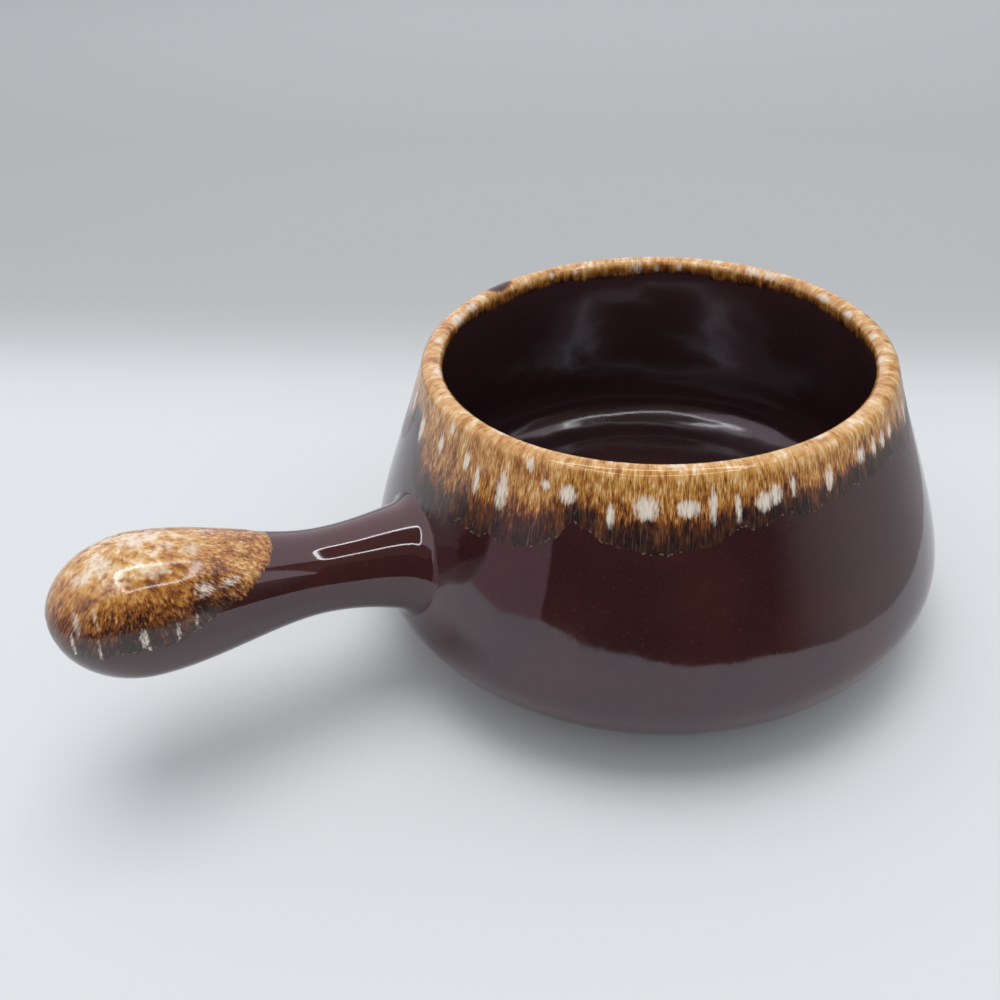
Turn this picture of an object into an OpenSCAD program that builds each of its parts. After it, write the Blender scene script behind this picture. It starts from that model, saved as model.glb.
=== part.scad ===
// Stoneware soup bowl with one stick handle, brown glaze and a lighter drip glaze.
// The origin is on the bowl's axis at the table, +Z up, and the handle points along -X.
// Bowl sizes are those of the finished brown ware; the drip glaze lies on top of them.

/* [Bowl] */
// Diameter of the lip along its crest
rim_d = 110; // [96:1:130]
// Height of the lip's crest above the table
bowl_h = 75.2; // [66:0.2:90]
// Diameter of the belly at its widest
belly_d = 149.6; // [140:0.2:168]
// Depth of the widest place below the crest
belly_drop = 52.7; // [48:0.1:56]
// Diameter at which the glazed outside ends above the foot
base_d = 107.6; // [98:0.2:116]
// Thickness of the wall at the belly
wall_t = 5.2; // [4:0.1:7]
// Height of the inside floor above the table
floor_z = 12; // [9:0.1:14]
// Height of the widest place inside above that outside
hollow_rise = 1.5; // [0:0.1:4]
// Width of the rounded corner between the inside wall and the flat floor
corner_w = 12.6; // [8.6:0.1:21.6]

/* [Lip] */
// Height of the rounded lip
lip_h = 1.9; // [1.4:0.1:2.6]
// Half width of the lip outside its crest
lip_out = 2.65; // [1.8:0.05:3.4]
// Half width of the lip inside its crest
lip_in = 1.95; // [1.6:0.05:3]
// Angle below the crest at which the lip turns into the wall
lip_turn = 12.1; // [6:0.1:20]

/* [Foot] */
// Height of the dry foot ring
foot_h = 1.2; // [0.8:0.1:2]
// Radius of the foot ring's inner edge
ring_r = 46.5; // [40:0.5:48]
// Width of the flat that the bowl stands on
ring_w = 4.4; // [2.5:0.1:5]
// Depth of the recess inside the foot ring
recess_h = 2.2; // [1.6:0.1:2.8]
// Slope of the underside where it leaves the foot ring
foot_slope = 21; // [15:1:28]

/* [Handle] */
// Depth below the crest at which the handle's axis meets the wall
join_drop = 38.3; // [34:0.1:42]
// Angle of the handle below the direction that faces straight out of the wall
handle_droop = 8; // [2:0.1:12]
// Length of the handle's axis from the wall to the tip
handle_l = 81.1; // [72:0.1:110]
// Radius of the handle at the wall
root_r = 13.3; // [11.5:0.1:15]
// Inward slope of the handle's side at the wall
root_slope = 11.7; // [4:0.1:18]
// Distance from the wall to the narrowest place
neck_l = 21.7; // [16:0.1:27]
// Radius of the neck
neck_r = 10.2; // [8.8:0.1:11]
// Length of the rounded end beyond the bulb's widest place
cap_l = 19.9; // [14:0.1:24]
// Radius of the bulb
bulb_r = 16.1; // [13:0.1:19]
// Thickness of the hollow handle's clay
handle_t = 3.8; // [2.6:0.1:4.4]
// Diameter of the vent hole underneath
vent_d = 3.2; // [2:0.1:5]
// Distance of the vent hole from the wall
vent_l = 17; // [14:0.5:26]

/* [Slip joint] */
// Spread of the slip beyond the handle's root
slip_w = 5; // [3:0.2:6]
// Depth to which the wall covers the slip's wide end where it is shallowest
slip_cover = 0.7; // [0.4:0.1:2]

/* [Glaze] */
// Thickness of the brown glaze
glaze_t = 0.4; // [0.3:0.05:0.6]
// Thickness of the drip glaze on top of it
drip_t = 0.4; // [0.3:0.05:0.6]
// Depth of the drip band's straight edge below the crest, outside
drip_out = 11.4; // [8:0.1:14]
// Depth of the drip band below the crest, inside
drip_in = 4.6; // [3.5:0.1:8]
// Longest run below the straight edge
drip_run = 12; // [6:0.5:14]
// Length of the drip patch along the handle, from the tip
patch_l = 48; // [40:0.5:56]
// Bare margin between the base glaze and the foot ring
base_gap = 1; // [0.6:0.1:3]

/* [Hidden] */
$fn = 128;

clay = [0.80, 0.71, 0.58];
slip = [0.72, 0.62, 0.50];
brown = [0.21, 0.12, 0.12];
dark_brown = [0.13, 0.09, 0.10];
tan_glaze = [0.73, 0.54, 0.32];
pale_tan = [0.86, 0.72, 0.52];

rim_r = rim_d / 2;
belly_r = belly_d / 2;
base_r = base_d / 2;
hollow_r = belly_r - wall_t;
floor_r = hollow_r - corner_w;
lip_z = bowl_h - lip_h;
belly_z = bowl_h - belly_drop;
hollow_z = belly_z + hollow_rise;
join_z = bowl_h - join_drop;
// Points along each curve, and how many of the handle's lie under the slip
steps = 14;
slip_steps = 4;
// Overrun of cuts and of what they trim
cut_over = 1;

// How far each curve keeps its end directions, as shares of its rise or run
belly_up_share = 0.184;
lip_down_share = 0.199;
foot_out_share = 0.586;
belly_down_share = 0.391;
corner_share = 0.55;
root_share = 0.325;
slip_wall_share = 0.6;
slip_side_share = 0.6;
neck_in_share = 0.409;
neck_out_share = 0.285;
bulb_in_share = 0.329;

// A cubic curve, its direction, and its points moved out along the right-hand normal
function bez(p, t) =
    pow(1 - t, 3) * p[0] + 3 * pow(1 - t, 2) * t * p[1]
    + 3 * (1 - t) * pow(t, 2) * p[2] + pow(t, 3) * p[3];
function bez_way(p, t) =
    pow(1 - t, 2) * (p[1] - p[0]) + 2 * (1 - t) * t * (p[2] - p[1])
    + pow(t, 2) * (p[3] - p[2]);
function right_of(way) = [way[1], -way[0]] / norm(way);
function curve(p, off, first = 0) =
    [for (i = [first : steps]) bez(p, i / steps) + off * right_of(bez_way(p, i / steps))];
function arc_point(mid, a, b, angle, off) =
    mid + [a * cos(angle), b * sin(angle)]
    + off * [b * cos(angle), a * sin(angle)] / norm([b * cos(angle), a * sin(angle)]);
function arc(mid, a, b, from, to, off, first = 0) =
    [for (i = [first : steps]) arc_point(mid, a, b, from + (to - from) * i / steps, off)];
function reversed(list) = [for (i = [len(list) - 1 : -1 : 0]) list[i]];

// The outside, from the foot ring over the belly to the crest, as [radius, height]
lip_start = [rim_r + lip_out * cos(lip_turn), lip_z + lip_h * sin(lip_turn)];
lip_way = [lip_out * sin(lip_turn), -lip_h * cos(lip_turn)]
    / norm([lip_out * sin(lip_turn), lip_h * cos(lip_turn)]);
lower_wall = [
    [base_r, foot_h],
    [base_r, foot_h] + foot_out_share * (belly_r - base_r) * [cos(foot_slope), sin(foot_slope)],
    [belly_r, belly_z - belly_down_share * (belly_z - foot_h)],
    [belly_r, belly_z]
];
upper_wall = [
    [belly_r, belly_z],
    [belly_r, belly_z + belly_up_share * (lip_start[1] - belly_z)],
    lip_start + lip_down_share * (lip_start[1] - belly_z) * lip_way,
    lip_start
];
function outside(off) = concat(
    curve(lower_wall, off), curve(upper_wall, off, 1),
    arc([rim_r, lip_z], lip_out, lip_h, lip_turn, 90, off, 1));

// The inside, from the crest down the wall and over the floor to the axis
lip_end = [rim_r - lip_in, lip_z];
inner_wall = [
    lip_end,
    lip_end - [0, lip_down_share * (lip_z - hollow_z)],
    [hollow_r, hollow_z + belly_up_share * (lip_z - hollow_z)],
    [hollow_r, hollow_z]
];
inner_corner = [
    [hollow_r, hollow_z],
    [hollow_r, hollow_z - corner_share * (hollow_z - floor_z)],
    [floor_r + corner_share * (hollow_r - floor_r), floor_z],
    [floor_r, floor_z]
];
function inside(off) = concat(
    arc([rim_r, lip_z], lip_in, lip_h, 90, 180, off), curve(inner_wall, off, 1),
    curve(inner_corner, off, 1), [[0, floor_z + off]]);

// The wall's radius at a height
wall_table = [for (p = concat(curve(lower_wall, 0), curve(upper_wall, 0, 1))) [p[1], p[0]]];
function wall_r(z) = lookup(z, wall_table);
// The handle's tilt follows the wall's lean over the height of the handle's root
wall_lean = atan((wall_r(join_z - root_r) - wall_r(join_z + root_r)) / (2 * root_r));
handle_tilt = wall_lean - handle_droop;

// The handle's side along its own axis, as [radius, distance from the wall]
bulb_l = handle_l - cap_l;
root_curve = [
    [root_r, 0],
    [root_r, 0] + root_share * neck_l * [-tan(root_slope), 1],
    [neck_r, neck_l - neck_in_share * neck_l],
    [neck_r, neck_l]
];
bulb_curve = [
    [neck_r, neck_l],
    [neck_r, neck_l + neck_out_share * (bulb_l - neck_l)],
    [bulb_r, bulb_l - bulb_in_share * (bulb_l - neck_l)],
    [bulb_r, bulb_l]
];
// The wall falls back round the slip's wide end, by an amount that its lean and roundness give
slip_r = root_r + slip_w;
function wall_drop(angle) =
    let (up = slip_r * cos(angle), side = slip_r * sin(angle), r = wall_r(join_z + up * cos(handle_tilt)))
    (wall_r(join_z) - up * sin(handle_tilt) - sqrt(pow(r, 2) - pow(side, 2))) / cos(handle_tilt);
slip_in = slip_cover + max([for (i = [0 : steps]) wall_drop(180 * i / steps)]);
// Handle and slip start inside the wall line, and the bowl's outside cuts them to fit
root_in = slip_in + cut_over;
function handle_side(off) = concat(
    [[0, -root_in], [root_r + root_in * tan(root_slope) + off, -root_in]],
    curve(root_curve, off), curve(bulb_curve, off, 1),
    arc([0, bulb_l], bulb_r, cap_l, 0, 90, off, 1));

// The slip's hollow curve ends along the handle's side, where that curve has its own point
slip_end_share = slip_steps / steps;
slip_end = bez(root_curve, slip_end_share);
slip_end_way = bez_way(root_curve, slip_end_share);
slip_curve = [
    [slip_r, -slip_in],
    [slip_r - slip_wall_share * slip_w, -slip_in],
    slip_end - slip_side_share * (slip_end[1] + slip_in) * slip_end_way / norm(slip_end_way),
    slip_end
];
function slip_side(off) = concat(
    [[0, -root_in], [slip_r, -root_in]],
    curve(slip_curve, off), [[0, slip_end[1]]]);

// Lobes of the rim drip: bearing from the handle, anticlockwise seen from above,
// then half width as a share of the rim's radius and run as a share of the longest run
lobe_shares = [
    [5, 0.27, 1.13], [19, 0.20, 0.80], [27, 0.28, 0.73], [58.5, 0.33, 0.41],
    [78, 0.08, 0.12], [91, 0.09, 0.09], [129, 0.17, 0.26], [153, 0.22, 0.50],
    [180, 0.20, 0.34], [204, 0.16, 0.22], [229, 0.25, 0.55], [257, 0.21, 0.38],
    [283, 0.19, 0.45], [307, 0.22, 0.66], [333, 0.24, 0.86]
];
// Lower edge of the handle's patch: place along it from the tip's side as a share of its
// length, and height above the axis as a share of the bulb's radius
patch_shares = [
    [-0.15, -0.20], [0.07, -0.17], [0.20, -0.13], [0.24, -0.03], [0.38, 0.00], [0.52, 0.02],
    [0.55, 0.08], [0.65, 0.21], [0.75, 0.32], [0.80, 0.34], [0.85, 0.41], [0.91, 0.52],
    [0.96, 0.61], [1.00, 0.68], [1.02, 0.80], [0.99, 1.10]
];

module on_handle() {
    translate([-wall_r(join_z), 0, join_z]) rotate([0, handle_tilt - 90, 0]) children();
}
module bowl_form(off) {
    rotate_extrude() polygon(concat([[0, foot_h]], outside(off), [[0, bowl_h + off]]));
}
module handle_form(off) {
    on_handle() rotate_extrude() polygon(handle_side(off));
}
module slip_form(off) {
    on_handle() rotate_extrude() polygon(slip_side(off));
}
module vent() {
    on_handle() translate([0, 0, vent_l]) rotate([0, -90, 0])
        cylinder(h = 2 * root_r, d = vent_d);
}

// Jiggered stoneware: wall, floor and the dry ring that it stands on
module bowl_body() {
    color(clay) rotate_extrude() polygon(concat(
        [[0, recess_h], [ring_r - recess_h, recess_h], [ring_r, 0], [ring_r + ring_w, 0]],
        outside(-glaze_t), inside(-glaze_t)));
}

// Slip-cast handle, hollow up to the bowl's wall, with a vent underneath
module handle_shell() {
    color(clay) difference() {
        handle_form(-glaze_t);
        handle_form(-glaze_t - handle_t);
        bowl_form(-glaze_t);
        vent();
    }
}

// Slip that joins the handle to the wall and rounds the corner between them
module luting_slip() {
    color(slip) difference() {
        slip_form(-glaze_t);
        handle_form(-glaze_t);
        bowl_form(-glaze_t);
    }
}

module inside_glaze() {
    color(dark_brown) rotate_extrude()
        polygon(concat(inside(0), reversed(inside(-glaze_t))));
}

module outside_glaze() {
    color(brown) difference() {
        rotate_extrude() polygon(concat(outside(0), reversed(outside(-glaze_t))));
        handle_form(0);
        slip_form(0);
    }
}

module base_glaze() {
    color(dark_brown) translate([0, 0, recess_h - glaze_t])
        cylinder(h = glaze_t, r = ring_r - recess_h - base_gap);
}

module handle_glaze() {
    color(brown) difference() {
        union() {
            handle_form(0);
            slip_form(0);
        }
        handle_form(-glaze_t);
        slip_form(-glaze_t);
        bowl_form(-glaze_t);
        vent();
    }
}

// Light glaze over the lip: outside a straight-edged band with round tongues below it
module drip_zone() {
    edge_z = bowl_h - drip_out;
    translate([0, 0, edge_z]) cylinder(h = bowl_h, r = belly_r);
    for (lobe = lobe_shares) {
        half_w = lobe[1] * rim_r;
        run = lobe[2] * drip_run;
        round_r = (pow(half_w, 2) + pow(run, 2)) / (2 * run);
        rotate([0, 0, 180 + lobe[0]]) translate([rim_r, 0, edge_z - run + round_r])
            rotate([0, 90, 0]) cylinder(h = belly_r, r = round_r);
    }
}
module rim_drip_glaze() {
    color(tan_glaze) {
        difference() {
            intersection() {
                rotate_extrude() polygon(concat(outside(drip_t), reversed(outside(0))));
                drip_zone();
            }
            handle_form(0);
            slip_form(0);
        }
        intersection() {
            rotate_extrude() polygon(concat(inside(drip_t), reversed(inside(0))));
            translate([0, 0, bowl_h - drip_in]) cylinder(h = bowl_h, r = rim_r);
        }
    }
}

module handle_drip_glaze() {
    edge = [for (p = patch_shares) [p[1] * bulb_r, handle_l - p[0] * patch_l]];
    color(pale_tan) intersection() {
        difference() {
            handle_form(drip_t);
            handle_form(0);
        }
        on_handle() rotate([90, 0, 0]) linear_extrude(height = 2 * belly_r, center = true)
            polygon(concat(edge, [[2 * bulb_r, handle_l - patch_l], [2 * bulb_r, handle_l * 2]]));
    }
}

bowl_body();
handle_shell();
luting_slip();
inside_glaze();
outside_glaze();
base_glaze();
handle_glaze();
rim_drip_glaze();
handle_drip_glaze();
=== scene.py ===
import bisect
import bpy
import math
from mathutils import Matrix, Vector


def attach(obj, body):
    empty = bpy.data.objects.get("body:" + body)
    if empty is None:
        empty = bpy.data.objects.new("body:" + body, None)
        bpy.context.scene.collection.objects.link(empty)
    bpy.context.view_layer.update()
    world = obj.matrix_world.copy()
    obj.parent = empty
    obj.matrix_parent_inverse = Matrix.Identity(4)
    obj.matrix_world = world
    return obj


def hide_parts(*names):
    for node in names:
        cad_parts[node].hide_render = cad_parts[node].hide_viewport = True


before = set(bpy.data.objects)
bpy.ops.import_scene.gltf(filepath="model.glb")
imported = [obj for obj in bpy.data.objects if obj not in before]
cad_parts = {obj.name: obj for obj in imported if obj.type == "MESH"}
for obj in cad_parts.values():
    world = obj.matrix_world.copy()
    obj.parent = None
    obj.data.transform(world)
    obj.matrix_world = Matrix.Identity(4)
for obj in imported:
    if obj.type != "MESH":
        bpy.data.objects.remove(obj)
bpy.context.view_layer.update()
mm = 0.001

# Camera
# A camera 190 mm above the table, on the handle's side of the bowl, that looks down into it. Its
# lens is as long as its frame is wide.
camera_at = Vector((-126.85, -188.06, 189.71)) * mm
camera_forward = Vector((0.32773, 0.74619, -0.57947))
camera_up = Vector((0.29184, 0.5034, 0.81328))
sensor_width = 36
nearest_seen = 10 * mm
bpy.ops.object.camera_add(location=camera_at)
camera = bpy.context.object
camera.name = "camera"
camera.data.sensor_width = sensor_width
camera.data.lens = sensor_width
camera.data.clip_start = nearest_seen
camera_right = camera_forward.cross(camera_up).normalized()
camera_up = camera_right.cross(camera_forward).normalized()
facing = Matrix((camera_right, camera_up, -camera_forward.normalized())).transposed()
camera.rotation_euler = facing.to_euler()
bpy.context.scene.camera = camera
bpy.context.scene.view_settings.view_transform = "Standard"

# Table and light
# A white sheet in a pale tent, lit by one soft lamp. The tent's dim ceiling with its bright frame,
# its sides and its dark opening show only where the glaze mirrors them.
floor_size = 6.0
sheet_colour = (0.80, 0.815, 0.83)
# Painted shade: the sheet's colour darkens away from the camera, where the far sheet lies in shade,
# and lightens again farther off: tones by metres from the bowl's middle along this way
painted_shade_way = (0.559, 0.829, 0)
painted_shade_tones = [(0.0, 1.0), (0.075, 0.98), (0.107, 0.92), (0.124, 0.85), (0.143, 0.745), (0.165, 0.665),
              (0.19, 0.625), (0.25, 0.605), (0.45, 0.605), (0.86, 0.70), (1.0, 0.72)]
tent_colour = (0.60, 0.615, 0.635)
mirrored_tent = (1.12, 0.93, 1.00)
ceiling_z = 400 * mm
frame_low = Vector((-212, -207)) * mm
frame_high = Vector((106, 35)) * mm
frame_w = 17 * mm
frame_corner = 60 * mm
frame_light = 11.0
ceiling_light = 0.18
near_low = Vector((-760, -900)) * mm
near_high = Vector((300, -196)) * mm
curtain_h = 260 * mm
# Lines on the table, in millimetres, that the tent's sides stand on
curtain_path = [(-425, -165), (-360, -287), (-227, -303), (0, -262), (32, -232)]
left_path = [(-425, -165), (-352, -60), (-340, 50)]
right_path = [(32, -232), (62, -200), (100, -120), (126, -52), (142, 6), (152, 60)]
side_h = 150 * mm
curtain_colour = (0.030, 0.022, 0.022)
left_colour = (0.50, 0.35, 0.41)
right_colour = (0.96, 0.96, 1.0)
lamp_at = Vector((0.06, 0.14, 1.55))
lamp_size = 1.1
lamp_power = 11.0


def new_material(name):
    """A material with only its output; returns its tree and that output."""
    material = bpy.data.materials.new(name)
    material.use_nodes = True
    material.node_tree.nodes.clear()
    output = material.node_tree.nodes.new("ShaderNodeOutputMaterial")
    return material, material.node_tree, output


def add_node(tree, kind, settings=None, inputs=None):
    """A shader node with its settings, and its inputs as values or as sockets to link."""
    made = tree.nodes.new(kind)
    for key, value in (settings or {}).items():
        setattr(made, key, value)
    for key, value in (inputs or {}).items():
        if isinstance(value, bpy.types.NodeSocket):
            tree.links.new(value, made.inputs[key])
        else:
            made.inputs[key].default_value = value
    return made


def set_ramp(ramp, stops):
    """Gives a colour ramp its (place, colour) stops, in rising order."""
    while len(ramp.elements) < len(stops):
        ramp.elements.new(0.5)
    for element, (where, colour) in zip(ramp.elements, stops):
        element.position = where
        element.color = (*colour, 1)


def only_in_reflections(thing):
    """The glaze mirrors the thing, and nothing else sees it."""
    thing.visible_camera = False
    thing.visible_diffuse = False
    thing.visible_shadow = False
    thing.visible_transmission = False
    thing.visible_volume_scatter = False


def glowing(name, colour, strength):
    """A material that only gives light."""
    material, tree, output = new_material(name)
    glow = add_node(tree, "ShaderNodeEmission", None, {"Color": (*colour, 1), "Strength": strength})
    tree.links.new(glow.outputs[0], output.inputs["Surface"])
    return material


def lay_panel(name, low, high, z, material):
    """A level rectangle between two corners, at a height."""
    middle = ((low[0] + high[0]) / 2, (low[1] + high[1]) / 2, z)
    bpy.ops.mesh.primitive_plane_add(size=1, location=middle)
    panel = bpy.context.object
    panel.name = name
    panel.scale = (high[0] - low[0], high[1] - low[1], 1)
    bpy.ops.object.transform_apply(location=True, rotation=False, scale=True)
    panel.data.materials.append(material)
    return panel


bpy.ops.object.select_all(action="DESELECT")
sheet, tree, output = new_material("white_sheet")
place = add_node(tree, "ShaderNodeTexCoord")
# Painted shade in the sheet's colour: darker along the way away from the camera
away = add_node(tree, "ShaderNodeVectorMath", {"operation": "DOT_PRODUCT"},
                {0: place.outputs["Object"], 1: painted_shade_way})
painted_shade_ramp = add_node(tree, "ShaderNodeValToRGB", None, {"Fac": away.outputs["Value"]})
set_ramp(painted_shade_ramp.color_ramp, [(where, [tone * c for c in sheet_colour]) for where, tone in painted_shade_tones])
cloth = add_node(tree, "ShaderNodeBsdfPrincipled", None,
                 {"Base Color": painted_shade_ramp.outputs["Color"], "Roughness": 0.9, "Specular IOR Level": 0.0})
tree.links.new(cloth.outputs[0], output.inputs["Surface"])
half = floor_size / 2
floor = lay_panel("floor", (-half, -half), (half, half), 0, sheet)

dim_ceiling = glowing("dim_ceiling", (1, 0.66, 0.58), ceiling_light)
only_in_reflections(lay_panel("ceiling", frame_low, frame_high, ceiling_z, dim_ceiling))
only_in_reflections(lay_panel("near_ceiling", near_low, near_high, ceiling_z + frame_w, dim_ceiling))
lay_panel("frame", frame_low, frame_high, ceiling_z - frame_w,
          glowing("frame_light", (1, 0.99, 0.97), frame_light))
bpy.ops.object.mode_set(mode="EDIT")
bpy.ops.mesh.select_all(action="SELECT")
bpy.ops.mesh.bevel(offset=frame_corner, segments=10, affect="VERTICES")
bpy.ops.mesh.select_all(action="SELECT")
bpy.ops.mesh.inset(thickness=frame_w)
bpy.ops.mesh.delete(type="FACE")
bpy.ops.object.mode_set(mode="OBJECT")
only_in_reflections(bpy.context.object)


def hang(name, path, tall, material):
    """An upright sheet that stands on a line on the table."""
    bpy.ops.mesh.primitive_plane_add(size=1)
    screen = bpy.context.object
    screen.name = name
    corners = []
    for x, y in path:
        corners.extend([Vector((x, y, 0)) * mm, Vector((x, y, 0)) * mm + Vector((0, 0, tall))])
    faces = [(2 * i, 2 * i + 2, 2 * i + 3, 2 * i + 1) for i in range(len(path) - 1)]
    screen.data.clear_geometry()
    screen.data.from_pydata(corners, [], faces)
    screen.data.materials.append(material)
    only_in_reflections(screen)


hang("dark_opening", curtain_path, curtain_h, glowing("dark_opening", curtain_colour, 1.0))
hang("left_side", left_path, side_h, glowing("left_side", left_colour, 1.0))
side_glow, tree, output = new_material("right_side")
place = add_node(tree, "ShaderNodeTexCoord")
apart = add_node(tree, "ShaderNodeSeparateXYZ", None, {0: place.outputs["Object"]})
lighter = add_node(tree, "ShaderNodeMapRange", {"interpolation_type": "SMOOTHSTEP"},
                   {"Value": apart.outputs["X"], "From Min": 0.03, "From Max": 0.10,
                    "To Min": 0.03, "To Max": 0.45})
glow = add_node(tree, "ShaderNodeEmission", None,
                {"Color": (*right_colour, 1), "Strength": lighter.outputs[0]})
tree.links.new(glow.outputs[0], output.inputs["Surface"])
hang("right_side", right_path, side_h, side_glow)

bpy.ops.object.light_add(type="AREA", location=lamp_at)
lamp = bpy.context.object
lamp.name = "soft_light"
lamp.data.shape = "SQUARE"
lamp.data.size = lamp_size
lamp.data.energy = lamp_power
lamp.rotation_euler = (-lamp_at).to_track_quat("-Z", "Y").to_euler()
lamp.visible_glossy = False

world = bpy.data.worlds.new("tent")
world.use_nodes = True
seen = add_node(world.node_tree, "ShaderNodeLightPath")
tent = add_node(world.node_tree, "ShaderNodeMix", {"data_type": "RGBA"},
                {0: seen.outputs["Is Glossy Ray"], 6: (*tent_colour, 1), 7: (*mirrored_tent, 1)})
world.node_tree.links.new(tent.outputs[2], world.node_tree.nodes["Background"].inputs["Color"])
bpy.context.scene.world = world

# Clay
# Buff stoneware: a bowl jiggered in a mould, with a slip-cast hollow handle luted on. Bare clay shows
# only on and beside the foot ring, and in the vent under the handle.


def speckled_clay(name, colour, fleck_colour):
    """Unglazed fired clay: a dry, fine-grained face with darker iron flecks."""
    material, tree, output = new_material(name)
    place = add_node(tree, "ShaderNodeTexCoord").outputs["Object"]
    grain = add_node(tree, "ShaderNodeTexNoise", None,
                     {"Vector": place, "Scale": 1400.0, "Detail": 3.0})
    flecks = add_node(tree, "ShaderNodeTexVoronoi", None, {"Vector": place, "Scale": 420.0})
    fleck = add_node(tree, "ShaderNodeMapRange", None,
                     {"Value": flecks.outputs["Distance"], "From Min": 0.10, "From Max": 0.22,
                      "To Min": 1.0, "To Max": 0.0})
    tint = add_node(tree, "ShaderNodeMix", {"data_type": "RGBA"},
                    {0: fleck.outputs[0], 6: (*colour, 1), 7: (*fleck_colour, 1)})
    brightness = add_node(tree, "ShaderNodeMapRange", None,
                          {"Value": grain.outputs["Fac"], "To Min": 0.8, "To Max": 1.2})
    shade = add_node(tree, "ShaderNodeHueSaturation", None,
                     {"Value": brightness.outputs[0], "Color": tint.outputs[2]})
    bump = add_node(tree, "ShaderNodeBump", None,
                    {"Height": grain.outputs["Fac"], "Strength": 0.35, "Distance": 0.0002})
    clay = add_node(tree, "ShaderNodeBsdfPrincipled", None,
                    {"Base Color": shade.outputs["Color"], "Roughness": 0.75,
                     "Normal": bump.outputs[0]})
    tree.links.new(clay.outputs[0], output.inputs["Surface"])
    return material


def finish_cad_node(node, material):
    """Gives a piece that keeps its own shape its finish."""
    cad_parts[node].data.materials.clear()
    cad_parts[node].data.materials.append(material)


buff_clay = speckled_clay("buff_clay", colour=(0.52, 0.39, 0.25), fleck_colour=(0.20, 0.10, 0.05))
finish_cad_node("bowl_body", buff_clay)
finish_cad_node("handle_shell", buff_clay)

# Outside glaze
# A poured brown glaze, four tenths of a millimetre thick, from just above the foot ring to the
# crest of the lip. It is glassy and nearly black, and redder where it runs thin.
rim_r = 55 * mm
bowl_h = 75.2 * mm
belly_r = 74.8 * mm
belly_z = 22.5 * mm
base_r = 53.8 * mm
foot_h = 1.2 * mm
foot_out_share = 0.586
foot_slope = math.radians(21)
belly_down_share = 0.391
belly_up_share = 0.184
lip_h = 1.9 * mm
lip_out = 2.65 * mm
lip_turn = math.radians(12.1)
lip_down_share = 0.199
glaze_t = 0.4 * mm
round_share = 0.5523
line_steps = 24
round_steps = 288
seam_gap = 0.01 * mm
crease = math.radians(50)
lip_z = bowl_h - lip_h
lip_start = Vector((rim_r + lip_out * math.cos(lip_turn), lip_z + lip_h * math.sin(lip_turn)))
lip_way = Vector((lip_out * math.sin(lip_turn), -lip_h * math.cos(lip_turn))).normalized()
rise = lip_start.y - belly_z
lip_pull = round_share * (1 - lip_turn / (math.pi / 2))
outside_line = [
    ((base_r, foot_h), None,
     (base_r + foot_out_share * (belly_r - base_r) * math.cos(foot_slope),
      foot_h + foot_out_share * (belly_r - base_r) * math.sin(foot_slope))),
    ((belly_r, belly_z), (belly_r, belly_z - belly_down_share * (belly_z - foot_h)),
     (belly_r, belly_z + belly_up_share * rise)),
    (lip_start, lip_start + lip_down_share * rise * lip_way,
     lip_start - lip_pull * lip_way * lip_h),
    ((rim_r, bowl_h), (rim_r + lip_pull * lip_out, bowl_h), None)]


def draw_line(name, line, into_space, steps):
    """A mesh line through Bezier points (point, handle before, handle after) given in a plane."""
    bpy.ops.object.select_all(action="DESELECT")
    bpy.ops.curve.primitive_bezier_curve_add(location=(0, 0, 0))
    drawn = bpy.context.object
    drawn.name = name
    drawn.data.resolution_u = steps
    spline = drawn.data.splines[0]
    spline.bezier_points.add(len(line) - len(spline.bezier_points))
    for knot, (point, before, after) in zip(spline.bezier_points, line):
        knot.handle_left_type = knot.handle_right_type = "FREE"
        knot.co = into_space(point)
        knot.handle_left = into_space(before or point)
        knot.handle_right = into_space(after or point)
    bpy.ops.object.convert(target="MESH")
    return bpy.context.object


def turn_on_wheel(piece, centre, axis, steps):
    """Spins the line once round, closes the seam and the poles, and faces it outwards."""
    bpy.ops.object.mode_set(mode="EDIT")
    bpy.ops.mesh.select_all(action="SELECT")
    bpy.ops.mesh.spin(steps=steps, angle=2 * math.pi, center=centre, axis=axis)
    bpy.ops.mesh.select_all(action="SELECT")
    bpy.ops.mesh.remove_doubles(threshold=seam_gap)
    bpy.ops.mesh.normals_make_consistent(inside=False)
    bpy.ops.object.mode_set(mode="OBJECT")
    bpy.ops.object.shade_smooth()


def give_thickness(piece, thickness):
    """Turns the outer skin into a closed coat that reaches inwards."""
    bpy.context.view_layer.objects.active = piece
    coat = piece.modifiers.new("coat", "SOLIDIFY")
    coat.thickness = thickness
    coat.offset = -1
    bpy.ops.object.modifier_apply(modifier=coat.name)
    bpy.ops.object.shade_smooth_by_angle(angle=crease)


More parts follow.
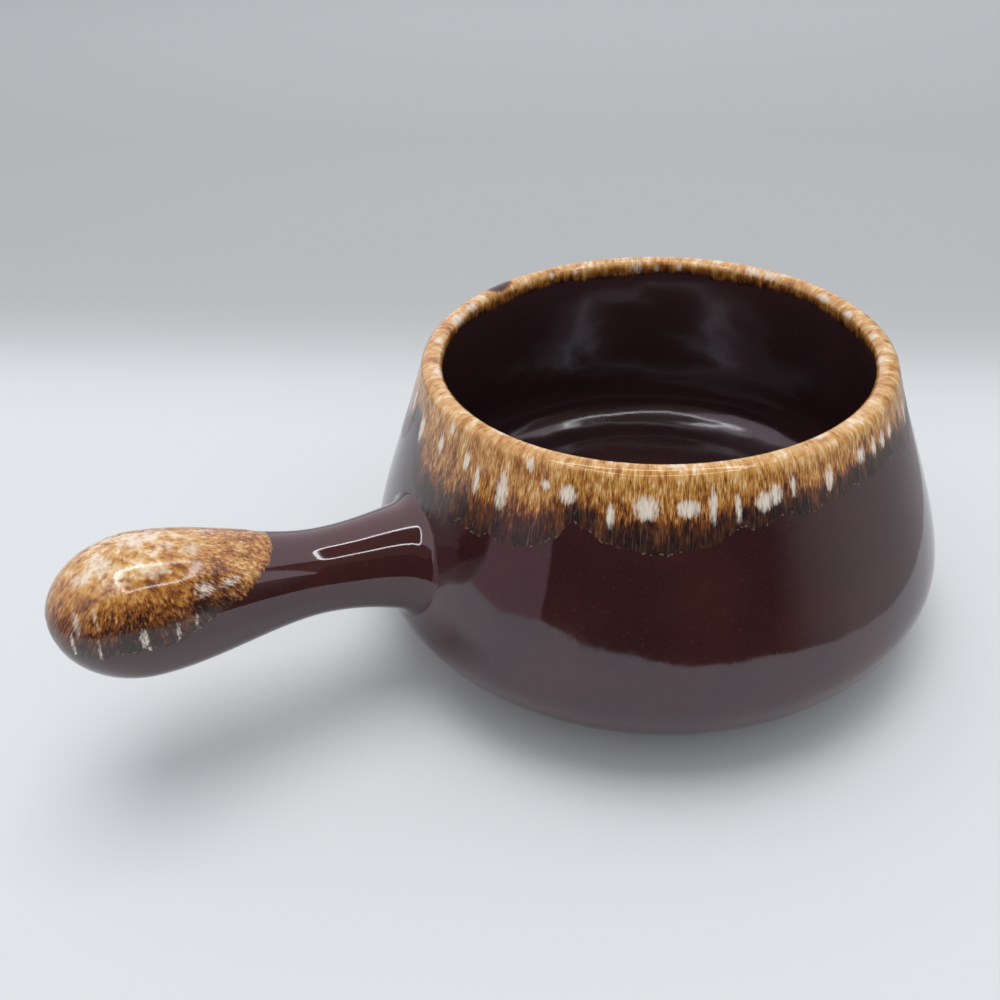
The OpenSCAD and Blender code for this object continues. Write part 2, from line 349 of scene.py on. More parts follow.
def brown_glaze(name, colour, thin_colour, thin_share, dullest=0.10, swelling=0.25):
    """Glassy dark glaze: a slow drift between two browns, iron flecks and a slightly uneven face."""
    material, tree, output = new_material(name)
    place = add_node(tree, "ShaderNodeTexCoord").outputs["Object"]
    drift = add_node(tree, "ShaderNodeTexNoise", None,
                     {"Vector": place, "Scale": 45.0, "Detail": 3.0})
    thin = add_node(tree, "ShaderNodeMapRange", None,
                    {"Value": drift.outputs["Fac"], "From Min": 0.35, "From Max": 0.75,
                     "To Min": 0.0, "To Max": thin_share})
    body = add_node(tree, "ShaderNodeMix", {"data_type": "RGBA"},
                    {0: thin.outputs[0], 6: (*colour, 1), 7: (*thin_colour, 1)})
    specks = add_node(tree, "ShaderNodeTexNoise", None,
                      {"Vector": place, "Scale": 1500.0, "Detail": 2.0})
    speck = add_node(tree, "ShaderNodeMapRange", None,
                     {"Value": specks.outputs["Fac"], "From Min": 0.62, "From Max": 0.80,
                      "To Max": 0.5})
    flecked = add_node(tree, "ShaderNodeMix", {"data_type": "RGBA"},
                       {0: speck.outputs[0], 6: body.outputs[2],
                        7: tuple(1.9 * c for c in thin_colour) + (1,)})
    swell = add_node(tree, "ShaderNodeTexNoise", None, {"Vector": place, "Scale": 70.0, "Detail": 1.0})
    skin = add_node(tree, "ShaderNodeTexNoise", None, {"Vector": place, "Scale": 600.0, "Detail": 2.0})
    rough = add_node(tree, "ShaderNodeMapRange", None,
                     {"Value": skin.outputs["Fac"], "To Min": 0.3 * dullest, "To Max": dullest})
    wave = add_node(tree, "ShaderNodeBump", None,
                    {"Height": swell.outputs["Fac"], "Strength": swelling, "Distance": 0.0006})
    peel = add_node(tree, "ShaderNodeBump", None,
                    {"Height": skin.outputs["Fac"], "Strength": 0.10, "Distance": 0.00003,
                     "Normal": wave.outputs[0]})
    glass = add_node(tree, "ShaderNodeBsdfPrincipled", None,
                     {"Base Color": flecked.outputs[2], "Roughness": rough.outputs[0],
                      "IOR": 1.75, "Specular Tint": (0.93, 0.93, 1.0, 1), "Normal": peel.outputs[0]})
    tree.links.new(glass.outputs[0], output.inputs["Surface"])
    return material


def off_bowl_axis(p):
    """A point of a bowl line, beside the bowl's axis."""
    return p[0], 0, p[1]


outside_coat = draw_line("outside_coat", outside_line, off_bowl_axis, line_steps)
turn_on_wheel(outside_coat, (0, 0, 0), (0, 0, 1), round_steps)
give_thickness(outside_coat, glaze_t)
outside_brown = brown_glaze("outside_brown", colour=(0.036, 0.011, 0.012),
                            thin_colour=(0.075, 0.022, 0.016), thin_share=0.6)
outside_coat.data.materials.append(outside_brown)
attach(outside_coat, "root")
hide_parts("outside_glaze")

# Inside glaze
# The same glaze, poured in, swirled and poured out again. It reaches from the crest of the lip down
# the wall and over the floor, and its face is a little more uneven than the outside's.
lip_in = 1.95 * mm
wall_t = 5.2 * mm
hollow_z = 24 * mm
floor_z = 12 * mm
floor_r = 57 * mm
corner_share = 0.55
hollow_r = belly_r - wall_t
lip_end = (rim_r - lip_in, lip_z)
inside_line = [
    ((rim_r, bowl_h), None, (rim_r - round_share * lip_in, bowl_h)),
    (lip_end, (lip_end[0], lip_z + round_share * lip_h),
     (lip_end[0], lip_z - lip_down_share * (lip_z - hollow_z))),
    ((hollow_r, hollow_z), (hollow_r, hollow_z + belly_up_share * (lip_z - hollow_z)),
     (hollow_r, hollow_z - corner_share * (hollow_z - floor_z))),
    ((floor_r, floor_z), (floor_r + corner_share * (hollow_r - floor_r), floor_z),
     (floor_r / 2, floor_z)),
    ((0, floor_z), (floor_r / 2, floor_z), None)]
inside_coat = draw_line("inside_coat", inside_line, off_bowl_axis, line_steps)
turn_on_wheel(inside_coat, (0, 0, 0), (0, 0, 1), round_steps)
give_thickness(inside_coat, glaze_t)
inside_dark = brown_glaze("inside_dark", colour=(0.057, 0.028, 0.034),
                          thin_colour=(0.085, 0.030, 0.026), thin_share=0.6,
                          dullest=0.24, swelling=0.8)
inside_coat.data.materials.append(inside_dark)
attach(inside_coat, "root")
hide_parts("inside_glaze")

# Base glaze
# The same glaze again, sponged thinly into the recess inside the foot ring. A bare margin beside
# the ring keeps it off what the bowl stands on in the kiln.
base_dark = brown_glaze("base_dark", colour=(0.020, 0.009, 0.009),
                        thin_colour=(0.045, 0.016, 0.012), thin_share=0.7)
finish_cad_node("base_glaze", base_dark)

# Handle glaze
# The brown glaze over the stick handle and its luted joint, which it rounds into the wall. A vent
# hole underneath let the steam out of the hollow handle in the kiln.
join_z = 36.9 * mm
handle_tilt = math.radians(9.26)
handle_l = 81.1 * mm
neck_l = 21.7 * mm
neck_r = 10.2 * mm
cap_l = 19.9 * mm
bulb_r = 16.1 * mm
neck_out_share = 0.285
bulb_in_share = 0.329
flange_r = 15.2 * mm
flange_pull = 1.4 * mm
slip_top = Vector((12.67, 2.96)) * mm
slip_top_before = Vector((12.95, 1.69)) * mm
slip_top_after = Vector((11.40, 8.76)) * mm
neck_before = Vector((10.2, 14.09)) * mm
fade_l = 18 * mm
side_spread = 1.6 * mm
spread_power = 6
proud = 0.07 * mm
border_w = 1.0 * mm
border_sink = 0.12 * mm
vent_d = 3.6 * mm
vent_l = 17 * mm
handle_round_steps = 192
bulb_l = handle_l - cap_l
handle_line = [
    ((flange_r, 0), None, (flange_r - flange_pull, 0)),
    (slip_top, slip_top_before, slip_top_after),
    ((neck_r, neck_l), neck_before, (neck_r, neck_l + neck_out_share * (bulb_l - neck_l))),
    ((bulb_r, bulb_l), (bulb_r, bulb_l - bulb_in_share * (bulb_l - neck_l)),
     (bulb_r, bulb_l + round_share * cap_l)),
    ((0, handle_l), (round_share * bulb_r, handle_l), None)]
along = Vector((-math.cos(handle_tilt), 0, math.sin(handle_tilt)))
above = Vector((math.sin(handle_tilt), 0, math.cos(handle_tilt)))
across = Vector((0, 1, 0))


def wall_at(point, way):
    """Where a straight line meets the bowl's glazed outside."""
    return outside_coat.ray_cast(point, way)[1]


root = wall_at(Vector((-belly_r * 2, 0, join_z)), Vector((1, 0, 0)))


def fit_to_wall(piece):
    """Bends the wide end of a piece turned about the handle's axis on to the bowl's round wall."""
    for vertex in piece.data.vertices:
        out = vertex.co - root
        height = out.dot(along)
        if height >= fade_l:
            continue
        near = 1 - max(height, 0) / fade_l
        side = out.dot(across)
        radius = math.hypot(side, out.dot(above))
        spread = side_spread * near ** spread_power
        vertex.co += across * side / radius * abs(side) / radius * spread
        wall = wall_at(vertex.co + along * (belly_r - height), -along)
        sunk = max(radius - (flange_r - border_w), 0) / border_w
        out_to_wall = near * near * ((wall - root).dot(along) + proud)
        vertex.co += along * (out_to_wall - border_sink * sunk * sunk)


def off_handle_axis(p):
    """A point of a handle line, above the handle's axis."""
    return root + above * p[0] + along * p[1]


handle_coat = draw_line("handle_coat", handle_line, off_handle_axis, line_steps)
turn_on_wheel(handle_coat, root, along, handle_round_steps)
fit_to_wall(handle_coat)
give_thickness(handle_coat, glaze_t)
bpy.ops.mesh.primitive_cylinder_add(radius=vent_d / 2, depth=bulb_r, vertices=48,
                                    location=root + along * vent_l - above * (neck_r + bulb_r / 4),
                                    rotation=above.to_track_quat("Z", "Y").to_euler())
drill = bpy.context.object
bpy.context.view_layer.objects.active = handle_coat
hole = handle_coat.modifiers.new("vent", "BOOLEAN")
hole.object = drill
hole.operation = "DIFFERENCE"
hole.solver = "EXACT"
bpy.ops.object.modifier_apply(modifier=hole.name)
bpy.data.objects.remove(drill)
handle_coat.data.materials.append(outside_brown)
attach(handle_coat, "root")
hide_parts("handle_glaze")

# Luting slip
# Clay slip that holds the handle to the wall, smoothed round with a wet finger before the glaze
# went over it.
under_glaze = Vector((0.5, 0)) * mm
slip_t = 0.8 * mm
slip_line_steps = 16
slip_round_steps = 96
slip_line = [((flange_r - border_w, -under_glaze.x), None, (flange_r - 2 * border_w, -under_glaze.x)),
             (slip_top - under_glaze, slip_top_before - under_glaze, None)]
slip_ring = draw_line("slip_ring", slip_line, off_handle_axis, slip_line_steps)
turn_on_wheel(slip_ring, root, along, slip_round_steps)
fit_to_wall(slip_ring)
give_thickness(slip_ring, slip_t)
slip_clay = speckled_clay("luting_slip_clay", colour=(0.45, 0.33, 0.21), fleck_colour=(0.2, 0.1, 0.05))
slip_ring.data.materials.append(slip_clay)
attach(slip_ring, "root")
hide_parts("luting_slip")

# Rim drip glaze
# A second, rutile glaze brushed thickly over the lip, which ran down both sides in the kiln. It is
# golden where it is thick, with pale flames and spots, and thins to dark brown fibres and beads.
drip_out = 11.4 * mm
drip_in = 4.6 * mm
drip_run = 12 * mm
# How far the drip glaze stands off the brown one, in its body and at its edge, and how thick the
# skin is that is modelled
drip_t = 0.4 * mm
drip_end_t = 0.03 * mm
skin_t = 0.3 * mm
band_columns = 760
band_rows = 62
grid_gap = 0.002 * mm
trace_steps = 60
# The wall's radius where the tongues and the flames lie, as a share of the lip's
tongue_r_share = 1.12
flame_r_share = 1.1
# A spot fades to nought where its squared offsets, in half sizes, add up to this
spot_end = 1.4
# The band's inner edge: how far and how often it waves, and what the lip's curve adds to its reach
inner_wave = 0.5 * mm
inner_waves = 9
lip_reach_share = 0.4
# Tongues: bearing from the handle, half width as a share of the rim's radius, run as a share
# of drip_run
lobe_shares = [
    (5, 0.27, 1.13), (19, 0.20, 0.80), (27, 0.28, 0.73), (58.5, 0.33, 0.41),
    (78, 0.08, 0.12), (91, 0.09, 0.09), (129, 0.17, 0.26), (153, 0.22, 0.50),
    (180, 0.20, 0.34), (204, 0.16, 0.22), (229, 0.25, 0.55), (257, 0.21, 0.38),
    (283, 0.19, 0.45), (307, 0.22, 0.66), (333, 0.24, 0.86)]
# White flames: bearing, then depth below the crest, half width and half length in millimetres
flames = [
    (14, 7, 1, 2.6), (18, 9.5, 1, 3.5), (25, 9.3, 1.7, 4.6), (31, 1.8, 1, 1.7),
    (35, 5, 1, 1.3), (40, 6, 2.1, 2.2), (49, 9, 0.9, 2.9), (56, 7, 2.9, 2.9),
    (64, 7, 2.7, 2.1), (69, 6.7, 0.9, 4.4), (74, 7.8, 0.8, 3.3), (79.5, 7.4, 2.1, 2.3),
    (82, 6.4, 1.5, 2.4), (86, 5.5, 0.8, 2.6), (95, 6.8, 1.2, 2.9), (105, 5.6, 1.5, 2.1),
    (110, 5.8, 0.9, 2.9), (114, 6, 1.1, 2.4), (118, 5.9, 1.1, 2.1), (130, 7.7, 1.1, 3.3),
    (147, 8, 2.1, 2.9), (160, 7.4, 1.1, 3.7), (171, 6.5, 2, 2.4), (186, 7, 1.2, 3.3),
    (199, 5.8, 1.7, 2.2), (214, 7.4, 1, 4), (226, 7.9, 2.4, 2.9), (241, 7, 1.2, 3.1),
    (252, 6.4, 2, 2.4), (263, 7.6, 1, 3.5), (279, 7.2, 1.9, 2.6), (290, 6.2, 1.1, 2.9),
    (303, 8.6, 2.5, 3.3), (315, 8, 1.1, 4), (329, 8.8, 2, 3.3), (342, 7.6, 1.1, 3.7),
    (353, 9.4, 1.8, 3.7), (4, 7.6, 1.1, 2.9), (7, 2.2, 1, 1.8)]
# Pale and bare spots on the crest: the second figure is the way down outside, or less than
# nought on the inside
crest_spots = [
    (242, -3.0, 1.6, 1.9), (236, -3.2, 1.0, 1.3), (217.5, 0.2, 1.7, 1.6), (206, -1.2, 3.2, 1.4),
    (200, -1.2, 3.0, 1.4), (197, 0.2, 1.2, 1.2), (311, -1.5, 4.0, 1.9), (303, -1.4, 3.0, 1.4),
    (270, -2.0, 1.2, 1.1), (262, -2.3, 1.0, 1.0), (229, -2.8, 1.0, 1.1), (180, -1.6, 3.0, 1.3),
    (168, -1.8, 2.5, 1.3), (153, -1.0, 2.0, 1.2), (140, -1.6, 2.6, 1.2), (326, -0.6, 2.2, 1.2),
    (344, -1.2, 2.6, 1.3), (20, -0.8, 2.4, 1.0), (62, -0.2, 2.6, 0.9), (96, -0.6, 2.4, 1.0)]
bare_spots = [(288, 0.3, 4.4, 1.8)]
crest_paleness = 0.8


def trace(line, steps):
    """Points along a chain of Bezier curves, from its first point to its last."""
    points = []
    for (start, _, leave), (end, arrive, _) in zip(line, line[1:]):
        a, d = Vector(start), Vector(end)
        b, c = Vector(leave or start), Vector(arrive or end)
        for i in range(steps):
            t = i / steps
            u = 1 - t
            points.append(a * u ** 3 + b * 3 * u * u * t + c * 3 * u * t * t + d * t ** 3)
    points.append(Vector(line[-1][0]))
    return points


def measure(points, left):
    """The distance walked to each point, the points, and the normals on the left or the right."""
    walked = [0.0]
    for before, after in zip(points, points[1:]):
        walked.append(walked[-1] + (after - before).length)
    normals = []
    for i in range(len(points)):
        way = (points[min(i + 1, len(points) - 1)] - points[max(i - 1, 0)]).normalized()
        normals.append(Vector((-way.y, way.x)) if left else Vector((way.y, -way.x)))
    return walked, points, normals


def along_path(path, distance):
    """The point and the normal at a distance along a measured path."""
    walked, points, normals = path
    i = min(max(bisect.bisect_right(walked, distance), 1), len(walked) - 1)
    share = (distance - walked[i - 1]) / (walked[i] - walked[i - 1])
    return points[i - 1].lerp(points[i], share), normals[i - 1].lerp(normals[i], share).normalized()


def smooth(value, low, high):
    """Rises softly from nought at one value to one at the other."""
    share = min(max((value - low) / (high - low), 0), 1)
    return share * share * (3 - 2 * share)


def read_off(value, places):
    """A value read off a list of (place, value) pairs, straight between them."""
    for (a, low), (b, high) in zip(places, places[1:]):
        if value < b:
            return low + (high - low) * max(value - a, 0) / (b - a)
    return places[-1][1]


def ragged(place):
    """A fixed uneven line for edges, about one millimetre from crest to trough."""
    return mm * (0.22 * math.sin(37 * place + 1.3) + 0.17 * math.sin(83 * place + 2.1)
                 + 0.14 * math.sin(151 * place + 0.4) + 0.12 * math.sin(263 * place + 3.3))


def tongue_depth(bearing):
    """Depth of the band's outer lower edge below the crest at a bearing in degrees."""
    deepest = drip_out
    for middle, half_share, run_share in lobe_shares:
        off = (bearing - middle + 180) % 360 - 180
        half_w = half_share * rim_r
        run = run_share * drip_run
        round_r = (half_w ** 2 + run ** 2) / (2 * run)
        beside = rim_r * tongue_r_share * math.radians(off)
        if abs(beside) < half_w:
            deepest = max(deepest, drip_out + run - round_r + math.sqrt(round_r ** 2 - beside ** 2))
    return deepest


def stand_off(fullness):
    """How far the drip glaze stands off the brown one: nought is its edge, one its full body."""
    return drip_end_t + (drip_t - drip_end_t) * fullness


def spot_at(spots, bearing, depth):
    """How far inside the nearest spot on the lip a place lies: one at its middle, nought outside."""
    best = 0.0
    for middle, deep, half_w, half_l in spots:
        off = (bearing - middle + 180) % 360 - 180
        beside = rim_r / mm * flame_r_share * math.radians(off) / half_w
        up_down = (depth - deep) / half_l
        best = max(best, 1 - (beside * beside + up_down * up_down) / spot_end)
    return best


def drip_glaze(name):
    """Rutile glaze. Stored on its mesh: flow (across, across, down), tone, pale, edge and mottle."""
    material, tree, output = new_material(name)

    def stored(key, output_name="Fac"):
        return add_node(tree, "ShaderNodeAttribute", {"attribute_name": key}).outputs[output_name]

    def noise(source, stretch, scale, detail, shift=0.0):
        moved = add_node(tree, "ShaderNodeMapping", None,
                         {"Vector": source, "Scale": stretch, "Location": (shift, shift, shift)})
        return add_node(tree, "ShaderNodeTexNoise", None,
                        {"Vector": moved.outputs[0], "Scale": scale, "Detail": detail,
                         "Roughness": 0.6}).outputs["Fac"]

    def math_of(operation, *values):
        return add_node(tree, "ShaderNodeMath", {"operation": operation},
                        dict(enumerate(values))).outputs[0]

    def between(value, low, high, start=0.0, end=1.0):
        return add_node(tree, "ShaderNodeMapRange", {"interpolation_type": "SMOOTHSTEP"},
                        {"Value": value, "From Min": low, "From Max": high,
                         "To Min": start, "To Max": end}).outputs[0]

    def blend(share, below, above):
        return add_node(tree, "ShaderNodeMix", {"data_type": "RGBA"},
                        {0: share, 6: below, 7: above}).outputs[2]

    flow = stored("flow", "Vector")
    tone = stored("tone")
    pale = stored("pale")
    edge = stored("edge")
    mottle = stored("mottle")
    place = add_node(tree, "ShaderNodeTexCoord").outputs["Object"]
    metres_to_mm = (1000, 1000, 1000)
    strand_colour = (0.22, 0.13, 0.08, 1)
    cream_colour = (0.91, 0.80, 0.67, 1)
    bead_colour = (0.38, 0.28, 0.15, 1)
    tones = [(0.0, (0.015, 0.010, 0.010)), (0.15, (0.040, 0.014, 0.010)),
             (0.28, (0.100, 0.029, 0.011)), (0.42, (0.238, 0.077, 0.018)),
             (0.56, (0.435, 0.174, 0.035)), (0.70, (0.625, 0.312, 0.080)),
             (0.84, (0.760, 0.470, 0.200)), (1.0, (0.920, 0.740, 0.530))]
    # Fibres drawn out along the flow, and grains and clouds where the glaze is mottled
    threads = noise(flow, (1, 1, 0.22), scale=2.0, detail=3.0)
    hairs = noise(flow, (1, 1, 0.12), scale=4.6, detail=1.0, shift=7.0)
    clumps = noise(flow, (1, 1, 0.35), scale=0.55, detail=2.0, shift=3.0)
    grains = noise(place, metres_to_mm, scale=0.62, detail=3.0)
    clouds = noise(place, metres_to_mm, scale=0.24, detail=2.0, shift=5.0)
    fibre = math_of("MULTIPLY", between(tone, 0.05, 0.45, 0.30, 1.0),
                    between(mottle, 0.0, 1.0, 1.0, 0.05))
    streaky = tone
    for pattern, weight, share in ((threads, 0.95, fibre), (hairs, 0.55, fibre), (clumps, 0.75, 1.0),
                                   (grains, 0.9, mottle), (clouds, 1.15, mottle)):
        swing = math_of("MULTIPLY", math_of("SUBTRACT", pattern, 0.5), share)
        streaky = math_of("MULTIPLY_ADD", swing, weight, streaky)
    colours = add_node(tree, "ShaderNodeValToRGB", None, {"Fac": streaky})
    set_ramp(colours.color_ramp, tones)
    # Paler strands where the glaze is thin and dark
    strands = noise(flow, (1, 1, 0.05), scale=3.4, detail=1.0, shift=17.0)
    strand = math_of("MULTIPLY", between(strands, 0.58, 0.70, 0.0, 0.35),
                     between(tone, 0.25, 0.45, 1.0, 0.0))
    body = blend(strand, colours.outputs["Color"], strand_colour)
    # Cream that is feathered by the same fibres, or by the grains
    grit = math_of("MULTIPLY_ADD", math_of("SUBTRACT", grains, threads), mottle, threads)
    drift = math_of("MULTIPLY_ADD", math_of("SUBTRACT", clouds, hairs), mottle, hairs)
    feathered = math_of("MULTIPLY_ADD", grit, 1.6, math_of("MULTIPLY_ADD", drift, 0.8, pale))
    cream = math_of("MULTIPLY", between(feathered, 1.26, 2.26, 0.0, 0.97),
                    between(math_of("ADD", tone, pale), 0.2, 0.55, 0.15, 1.0))
    body = blend(cream, body, cream_colour)
    # Beads along the very edge
    beads = between(noise(flow, (1, 1, 0.7), scale=1.1, detail=1.0, shift=11.0), 0.58, 0.66)
    bead = math_of("MULTIPLY", beads, between(edge, 0.2, 0.55, 0.5, 0.0))
    body = blend(bead, body, bead_colour)
    swell = add_node(tree, "ShaderNodeBump", None,
                     {"Height": threads, "Strength": 0.2, "Distance": 0.00006})
    dull = math_of("ADD", between(hairs, 0.3, 0.7, 0.06, 0.15), between(tone, 0.2, 0.45, 0.12, 0.0))
    glass = add_node(tree, "ShaderNodeBsdfPrincipled", None,
                     {"Base Color": body, "Roughness": dull, "IOR": 1.6,
                      "Normal": swell.outputs[0]})
    tree.links.new(glass.outputs[0], output.inputs["Surface"])
    return material


def cover_grid(name, columns, rows, laid_at):
    """Lays a grid on the ware: laid_at(u, v) gives a point and what its glaze stores there."""
    bpy.ops.object.select_all(action="DESELECT")
    bpy.ops.mesh.primitive_grid_add(x_subdivisions=columns, y_subdivisions=rows, size=1)
    piece = bpy.context.object
    piece.name = name
    stored = {"flow": [], "tone": [], "pale": [], "edge": [], "mottle": []}
    for vertex in piece.data.vertices:
        point, flow, tone, pale, edge, mottle = laid_at(vertex.co.x + 0.5, vertex.co.y + 0.5)
        vertex.co = point
        stored["flow"].extend(flow)
        for key, value in (("tone", tone), ("pale", pale), ("edge", edge), ("mottle", mottle)):
            stored[key].append(value)
    for key, values in stored.items():
        kind = ("FLOAT_VECTOR", "vector") if key == "flow" else ("FLOAT", "value")
        piece.data.attributes.new(key, kind[0], "POINT").data.foreach_set(kind[1], values)
    bpy.ops.object.mode_set(mode="EDIT")
    bpy.ops.mesh.select_all(action="SELECT")
    bpy.ops.mesh.remove_doubles(threshold=grid_gap)
    bpy.ops.mesh.normals_make_consistent(inside=False)
    bpy.ops.object.mode_set(mode="OBJECT")
    bpy.ops.object.shade_smooth()
    return piece


outer_path = measure(list(reversed(trace(outside_line, trace_steps))), True)
inner_path = measure(trace(inside_line, trace_steps), False)
# Tones of the band outside, by its share from the lower edge to the crest; what the lip adds, by
# millimetres from the crest; and tones inside, by millimetres from the band's edge there
band_tones = [(0.0, 0.10), (0.12, 0.13), (0.22, 0.18), (0.31, 0.30), (0.40, 0.45), (0.50, 0.55),
              (0.65, 0.61), (0.80, 0.63), (1.0, 0.65)]
lip_tones = [(0.0, 0.71), (1.6, 0.70), (3.2, 0.65), (5.0, 0.60), (40.0, 0.60)]
inner_tones = [(0.0, 0.12), (0.5, 0.26), (1.2, 0.43), (2.2, 0.54), (3.5, 0.60), (5.0, 0.66)]
plain_tone = 0.60
# The share from its edge at which the band comes to its full body
full_share = 0.7
# How far the band is mottled: on the crest, where the mottle is full up to the first distance from
# it in millimetres and ends at the second, and inside
crest_mottle = 0.55
crest_mottle_full = 1.0
crest_mottle_end = 4.5
inner_mottle = 0.5


def on_band(u, v):
    """The band once round (u), and from its inner edge over the lip to its outer edge (v)."""
    bearing = 360 * u
    turn = math.radians(180 + bearing)
    outward = Vector((math.cos(turn), math.sin(turn), 0))
    outer_reach = reach_out[round(u * band_columns) % band_columns]
    inner_reach = reach_in[round(u * band_columns) % band_columns]
    distance = v * (outer_reach + inner_reach) - inner_reach
    outside = distance >= 0
    point, normal = along_path(outer_path if outside else inner_path, abs(distance))
    edge = outer_reach - distance if outside else inner_reach + distance
    share = edge / (outer_reach if outside else inner_reach)
    point = point + normal * stand_off(smooth(share, 0, full_share))
    laid = outward * point.x + Vector((0, 0, point.y))
    down = abs(distance) / mm
    tone = read_off(share, band_tones) if outside else read_off(edge / mm, inner_tones)
    tone += max(read_off(down, lip_tones) - plain_tone, 0) * smooth(share, 0.3, full_share)
    pale = crest_paleness * spot_at(crest_spots, bearing, distance / mm)
    if outside:
        pale = max(pale, spot_at(flames, bearing, (bowl_h - point.y) / mm))
    tone -= spot_at(bare_spots, bearing, distance / mm)
    mottle = inner_mottle
    if outside:
        mottle = crest_mottle * smooth(down, crest_mottle_end, crest_mottle_full)
    flow = (outward.x * rim_r / mm, outward.y * rim_r / mm, distance / mm)
    return laid, flow, tone, pale, edge / mm if outside else 1.0, mottle


reach_out = []
reach_in = []
depth_of = [bowl_h - point.y for point in outer_path[1]]
for column in range(band_columns):
    angle = 2 * math.pi * column / band_columns
    depth = tongue_depth(math.degrees(angle)) + ragged(angle)
    below = bisect.bisect_left(depth_of, depth)
    share = (depth - depth_of[below - 1]) / (depth_of[below] - depth_of[below - 1])
    above_it, below_it = outer_path[0][below - 1], outer_path[0][below]
    reach_out.append(above_it + share * (below_it - above_it))
    wave = ragged(angle * 1.4 + 2) + inner_wave * math.sin(inner_waves * angle)
    reach_in.append(drip_in + lip_in * lip_reach_share + wave)
rim_drip = cover_grid("rim_drip", band_columns, band_rows, on_band)
give_thickness(rim_drip, skin_t)
rutile = drip_glaze("rutile_drip")
rim_drip.data.materials.append(rutile)
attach(rim_drip, "root")
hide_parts("rim_drip_glaze")

# Handle drip glaze
# The same rutile glaze, dipped over the top of the handle's bulb. It is creamy and mottled on top
# and ran outwards from there, down both flanks and a little way towards the neck.
patch_l = 48 * mm
patch_end = patch_l * 1.01
patch_columns = 260
patch_rows = 150
patch_middle = 17 * mm
patch_spread = 15.0
patch_stretch = 2.0
# What shifts the ragged edge of one flank against the other's, and the least radius at the tip
flank_shift = 3
least_r = 0.01 * mm
# The patch's middle line counts as far from both flanks, and its edge at the neck is this much
# steeper than theirs
middle_line = 0.001
neck_edge_slope = 4
# Millimetres over which the patch comes to its full body, then from the tip to where the neck's
# tone sets in and holds, and from the patch's middle to where the mottle is full and ends
swell_w = 6
neck_from = 30
neck_to = 42
mottle_full = 8
mottle_end = 19
# Lower edge: distance from the tip as a share of the patch, height as a share of the bulb's radius
patch_shares = [
    (-0.15, -0.20), (0.07, -0.17), (0.20, -0.13), (0.24, -0.03), (0.38, 0.00), (0.52, 0.02),
    (0.55, 0.08), (0.65, 0.21), (0.75, 0.32), (0.80, 0.34), (0.85, 0.41), (0.91, 0.52),
    (0.96, 0.61), (1.00, 0.68), (1.02, 0.80)]
# Pale pools and drips: millimetres from the tip, degrees from the top line, half sizes in
# millimetres, strength
pools = [(7.5, -17, 2.4, 2.2, 0.6), (14, -34, 3.6, 2.4, 0.45), (22, -31, 3.6, 2.2, 0.5),
         (12, -14, 2.6, 3.4, 0.7), (19, 2, 3.6, 2.6, 0.7),
         (25, -8, 3.0, 2.4, 0.6), (30, -14, 2.6, 2.2, 0.6), (23, 14, 4.0, 2.6, 0.7),
         (13, 22, 3.4, 3.0, 0.7), (34, 12, 3.2, 2.0, 0.5), (5.5, -60, 0.7, 3.6, 0.6),
         (9, -56, 0.6, 3.0, 0.5), (31, -50, 2.6, 1.8, 0.6), (37, -48, 2.4, 1.4, 0.55),
         (4.3, -88, 0.4, 4.2, 0.7), (9.0, -92, 0.4, 3.6, 0.65), (17.5, -80, 1.0, 2.6, 0.7),
         (18.4, -92, 0.4, 2.8, 0.7), (24.5, -80, 0.6, 2.6, 0.6), (13, -96, 0.3, 2.0, 0.5),
         (28.5, -74, 0.5, 2.0, 0.5), (8, 58, 0.7, 3.2, 0.7), (15, 80, 0.5, 2.6, 0.7),
         (24, 70, 0.9, 2.4, 0.7), (33, 44, 2.0, 1.6, 0.6), (20, 92, 0.4, 2.4, 0.7)]
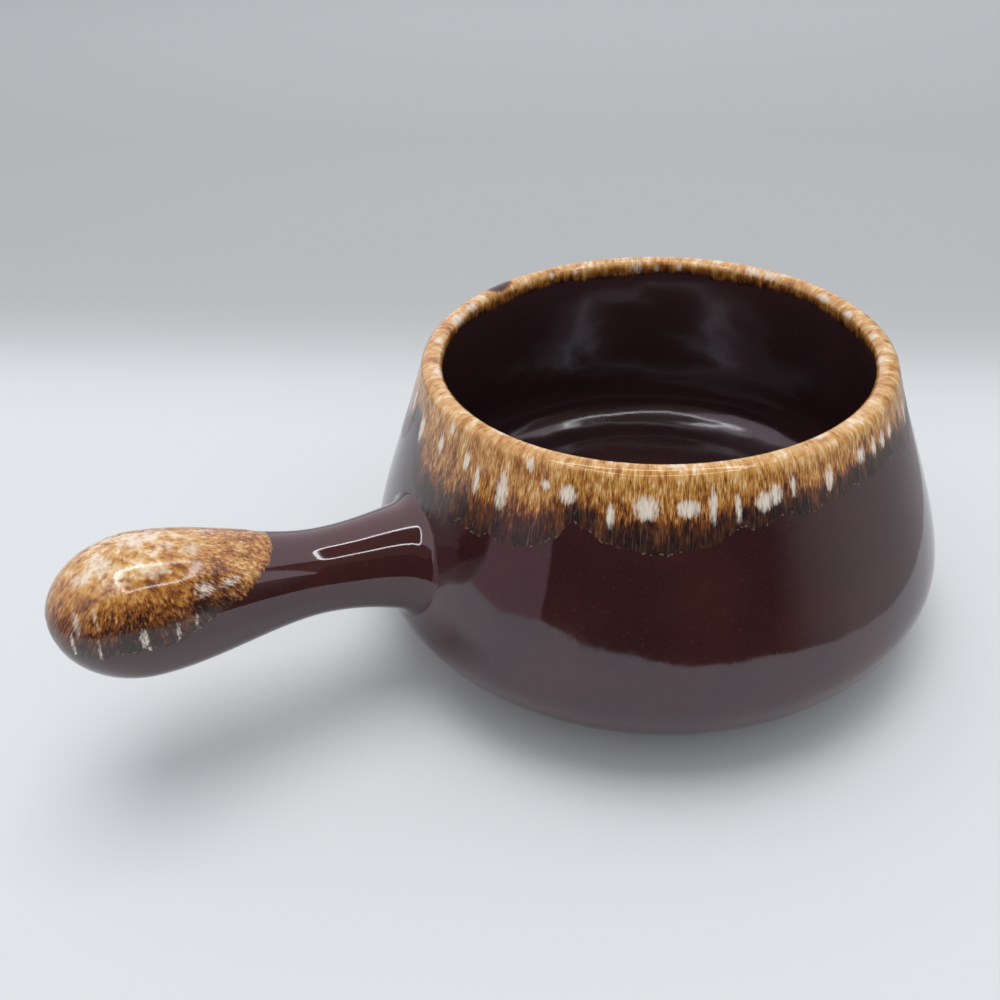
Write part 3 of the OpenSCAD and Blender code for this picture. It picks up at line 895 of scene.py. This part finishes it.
# Tones by millimetres from the edge, and the plainer tone that they turn to near the neck
patch_tones = [(0.0, 0.06), (1.5, 0.11), (3.0, 0.18), (5.0, 0.27), (8.0, 0.40), (11.0, 0.51),
               (15.0, 0.65), (20.0, 0.77), (24.0, 0.81)]
neck_tone = 0.60
side_line = measure(list(reversed(trace(handle_line, trace_steps))), True)
patch_walk = max(walked for walked, point in zip(side_line[0], side_line[1])
                 if handle_l - point.y < patch_end)


def on_patch(u, v):
    """The patch from one lower edge over the top to the other (u), and from the tip inwards (v)."""
    point, normal = along_path(side_line, v * patch_walk)
    from_tip = handle_l - point.y
    flank = 2 * u - 1
    height = read_off(from_tip / patch_l, patch_shares) * bulb_r
    height += ragged(0.05 * from_tip / mm + (flank_shift if flank > 0 else 0))
    half_turn = math.acos(min(max(height / max(point.x, least_r), -1), 1))
    turn = flank * half_turn
    beside = point.x * turn / mm
    from_flank = math.pi if abs(flank) < middle_line else half_turn - abs(turn)
    edge = max(min(point.x * from_flank, (patch_end - from_tip) * neck_edge_slope) / mm, 0)
    point = point + normal * stand_off(smooth(edge, 0, swell_w))
    laid = root + along * point.y + (above * math.cos(turn) + across * math.sin(turn)) * point.x
    pale = 0.0
    for place, degrees, half_w, half_l, strength in pools:
        off_x = (from_tip / mm - place) / half_w
        off_y = point.x / mm * (turn - math.radians(degrees)) / half_l
        pale = max(pale, strength * (1 - (off_x * off_x + off_y * off_y) / spot_end))
    run = math.hypot((from_tip - patch_middle) / mm, beside)
    way = math.atan2(beside, (from_tip - patch_middle) / mm)
    flow = (patch_spread * math.cos(way), patch_spread * math.sin(way), run * patch_stretch)
    tone = read_off(edge, patch_tones)
    by_neck = min(0.35 + 0.1 * edge, neck_tone)
    tone += (by_neck - tone) * smooth(from_tip / mm, neck_from, neck_to)
    return laid, flow, tone, pale, edge, smooth(run, mottle_end, mottle_full)


handle_drip = cover_grid("handle_drip", patch_columns, patch_rows, on_patch)
give_thickness(handle_drip, skin_t)
handle_drip.data.materials.append(rutile)
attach(handle_drip, "root")
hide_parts("handle_drip_glaze")
